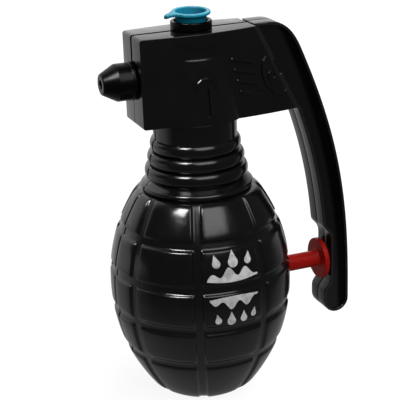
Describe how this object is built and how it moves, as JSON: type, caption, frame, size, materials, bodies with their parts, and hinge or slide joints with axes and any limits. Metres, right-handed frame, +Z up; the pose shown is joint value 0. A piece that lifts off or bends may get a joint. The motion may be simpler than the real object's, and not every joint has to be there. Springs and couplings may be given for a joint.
{
  "type": "toy water squirter",
  "caption": "Hand-held toy water squirter shaped like a ribbed grenade, with a squeeze lever that drives a piston pump, a conical nozzle and a plugged filler spout.",
  "frame": {"origin": "centre of the flat base, on the parting plane of the two halves", "axes": "+Z up the body's axis, -X towards the nozzle, +X towards the squeeze lever, y = 0 is the parting plane"},
  "size_m": [0.0713, 0.051, 0.111],
  "materials": {
    "shell_black": "satin-gloss moulded",
    "lever_black": "satin-gloss moulded",
    "fitting_black": "gloss moulded",
    "plug_blue": "soft satin moulded",
    "plunger_red": "satin moulded",
    "pump_white": "natural moulded",
    "hose_clear": "soft translucent",
    "rubber": "matt",
    "steel": "bright"
  },
  "bodies": {
    "casing": {"left_shell": "shell_black", "right_shell": "shell_black", "nozzle": "fitting_black", "nozzle_washer": "rubber", "filler_spout": "fitting_black", "lever_pin": "steel", "gland": "fitting_black", "rod_seal": "rubber", "pump_body": "pump_white", "return_spring": "steel", "inlet_fitting": "pump_white", "outlet_fitting": "pump_white", "dip_tube": "hose_clear", "outlet_hose": "hose_clear"},
    "lever": {"lever_left": "lever_black", "lever_right": "lever_black"},
    "plunger": {"plunger": "plunger_red", "piston": "pump_white", "piston_seal": "rubber"},
    "plug": {"filler_plug": "plug_blue"},
    "inlet_valve": {"inlet_ball": "steel"},
    "outlet_valve": {"outlet_ball": "steel"}
  },
  "joints": [
    {"name": "lever_pivot", "type": "hinge", "parent": "casing", "child": "lever", "pos_m": [0.02039, 0, 0.0921], "axis": [0, 1, 0], "range_deg": [0, 8.25], "stiffness_Nm_per_rad": 0.5, "springref_deg": -4.58},
    {"name": "plunger_slide", "type": "slide", "parent": "casing", "child": "plunger", "axis": [-1, 0, 0], "range_m": [0, 0.0086], "deforming": ["return_spring"]},
    {"name": "plug_lift", "type": "slide", "parent": "casing", "child": "plug", "axis": [0, 0, 1], "range_m": [0, 0.025]},
    {"name": "inlet_ball_lift", "type": "slide", "parent": "casing", "child": "inlet_valve", "axis": [0, 0, 1], "range_m": [0, 0.0012]},
    {"name": "outlet_ball_lift", "type": "slide", "parent": "casing", "child": "outlet_valve", "axis": [0, 0, 1], "range_m": [0, 0.0012]}
  ],
  "couplings": [
    {"joint": "plunger_slide", "follows": "lever_pivot", "m_per_rad": 0.05905}
  ]
}
